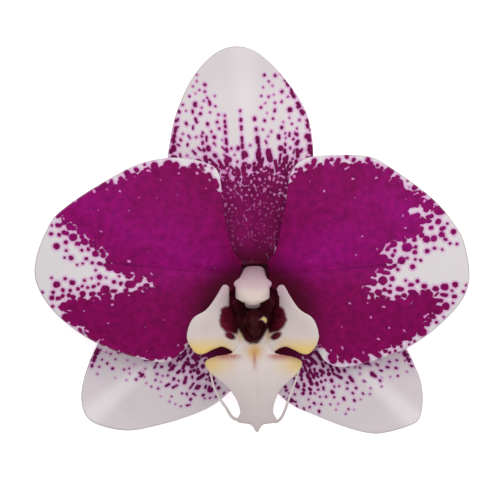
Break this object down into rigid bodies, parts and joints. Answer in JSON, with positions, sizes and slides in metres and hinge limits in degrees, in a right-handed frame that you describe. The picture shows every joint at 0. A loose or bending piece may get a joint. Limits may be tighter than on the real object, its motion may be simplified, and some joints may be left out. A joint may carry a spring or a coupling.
{
  "type": "moth orchid bloom",
  "caption": "Single spotted moth orchid bloom, picked with a short bent pedicel and lying face up on its sepal tips.",
  "frame": {"origin": "centre of the bounding box in plan, on the surface the bloom lies on", "axes": "+Z out of the bloom's face, away from the surface; +Y towards the tip of the dorsal sepal; +X towards the petal on the viewer's right"},
  "size_m": [0.0902, 0.0807, 0.0225],
  "materials": {
    "petal_magenta": "satin",
    "sepal_white": "satin",
    "lip_cream": "satin",
    "column_lilac": "satin",
    "cap_ivory": "satin",
    "pollinia_yellow": "satin",
    "pedicel_green": "satin"
  },
  "bodies": {
    "root": {"sepal_dorsal": "sepal_white", "sepal_lateral_left": "sepal_white", "sepal_lateral_right": "sepal_white", "petal_left": "petal_magenta", "petal_right": "petal_magenta", "lip": "lip_cream", "column": "column_lilac", "anther_cap": "cap_ivory", "pollinia": "pollinia_yellow", "pedicel_and_ovary": "pedicel_green"}
  },
  "joints": []
}
